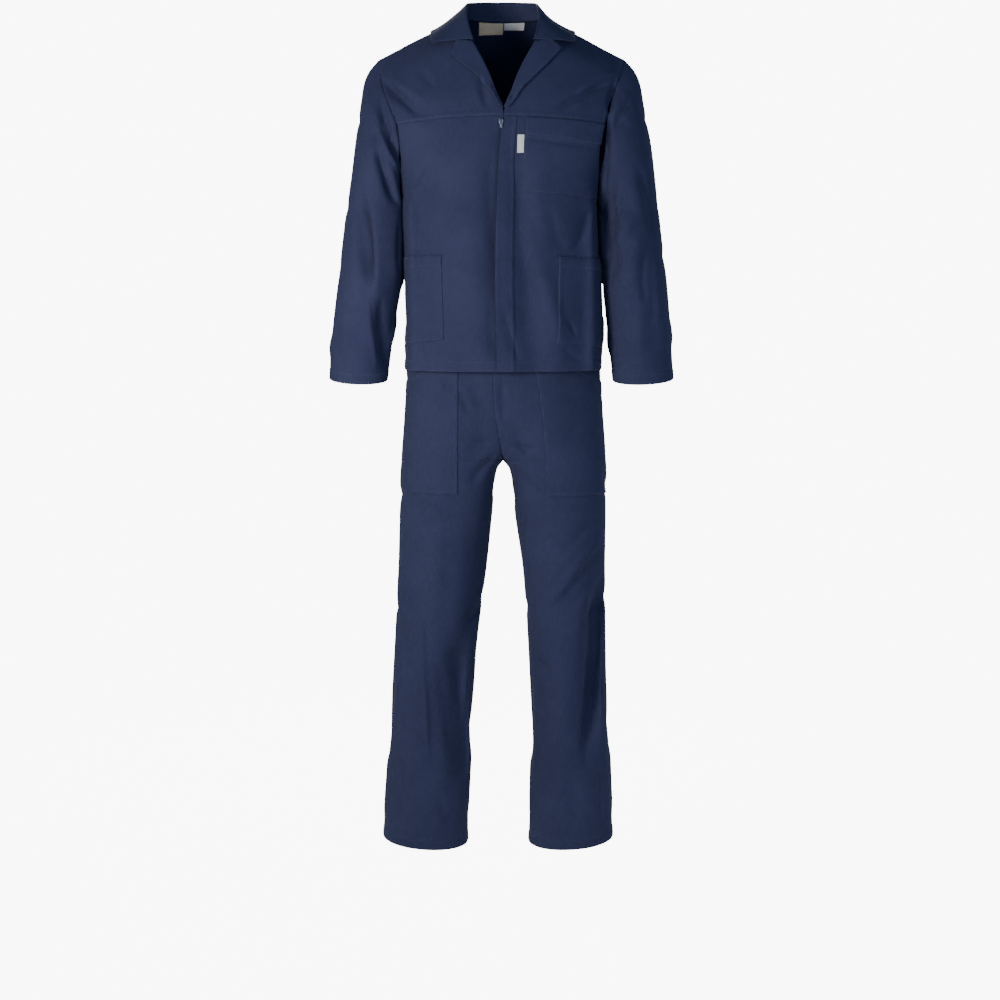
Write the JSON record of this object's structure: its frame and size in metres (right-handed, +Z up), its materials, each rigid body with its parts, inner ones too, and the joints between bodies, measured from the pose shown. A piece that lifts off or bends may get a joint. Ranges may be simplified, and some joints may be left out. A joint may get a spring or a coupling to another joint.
{
  "type": "two-piece work suit",
  "caption": "Hollow worn work suit: zip jacket with notched collar, front yokes and patch pockets over straight trousers with large patch pockets.",
  "frame": {"origin": "inside the neck, between the shoulders at the base of the neck, where the wearer carries the suit", "axes": "+X to the wearer's left, -Y out of the front, +Z up"},
  "size_m": [0.68, 0.2591, 1.6837],
  "materials": {
    "navy_twill": "matt twill",
    "white_tape": "matt woven tape",
    "khaki_tape": "matt woven tape",
    "zip_metal": "satin"
  },
  "bodies": {
    "suit": {"placket": "navy_twill", "jacket_front_left": "navy_twill", "jacket_front_right": "navy_twill", "jacket_yoke_left": "navy_twill", "jacket_yoke_right": "navy_twill", "jacket_back": "navy_twill", "sleeve_left": "navy_twill", "sleeve_right": "navy_twill", "collar": "navy_twill", "lapel_left": "navy_twill", "lapel_right": "navy_twill", "chest_pocket": "navy_twill", "chest_flap": "navy_twill", "hip_pocket_left": "navy_twill", "hip_pocket_right": "navy_twill", "trouser_front_left": "navy_twill", "trouser_front_right": "navy_twill", "trouser_back_left": "navy_twill", "trouser_back_right": "navy_twill", "waistband": "navy_twill", "trouser_pocket_left": "navy_twill", "trouser_pocket_right": "navy_twill", "pocket_tab": "white_tape", "size_label": "white_tape", "neck_label": "khaki_tape", "zip_slider": "zip_metal"},
    "zip_pull": {"zip_pull": "zip_metal"}
  },
  "joints": [
    {"name": "zip_pull_swing", "type": "hinge", "parent": "suit", "child": "zip_pull", "pos_m": [-0.002, -0.12251, -0.1976], "axis": [-1, 0, 0], "range_deg": [0, 150]}
  ]
}
